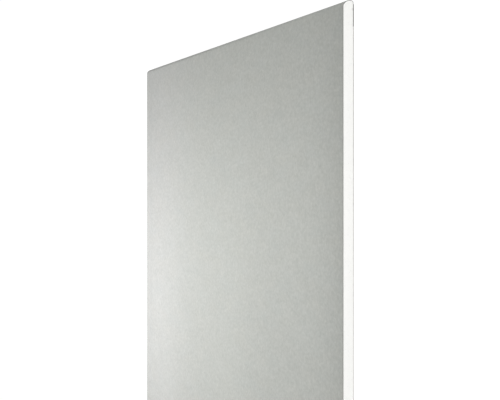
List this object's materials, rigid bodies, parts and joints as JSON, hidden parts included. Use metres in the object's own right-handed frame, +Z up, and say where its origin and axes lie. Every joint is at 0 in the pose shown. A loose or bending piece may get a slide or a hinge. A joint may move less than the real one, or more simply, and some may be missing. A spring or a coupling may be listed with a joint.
{
  "type": "drywall sheet",
  "caption": "Flat plasterboard sheet: white gypsum core between liner papers, half-round paper-bound long edges and square sawn ends, for lining walls and ceilings.",
  "frame": {"origin": "middle of the back, on the plane that the sheet lies on", "axes": "+X along the length, towards one sawn end; +Y across the width, towards one rounded long edge; +Z up through the thickness, out of the face"},
  "size_m": [2, 1.25, 0.0125],
  "materials": {
    "gypsum": "sawn, matte and chalky",
    "face_paper": "calendered grey-green liner with fine fibres and a faint sheen",
    "back_paper": "rough recycled grey liner, matte"
  },
  "bodies": {
    "root": {"gypsum_core": "gypsum", "face_paper": "face_paper", "back_paper": "back_paper"}
  },
  "joints": []
}
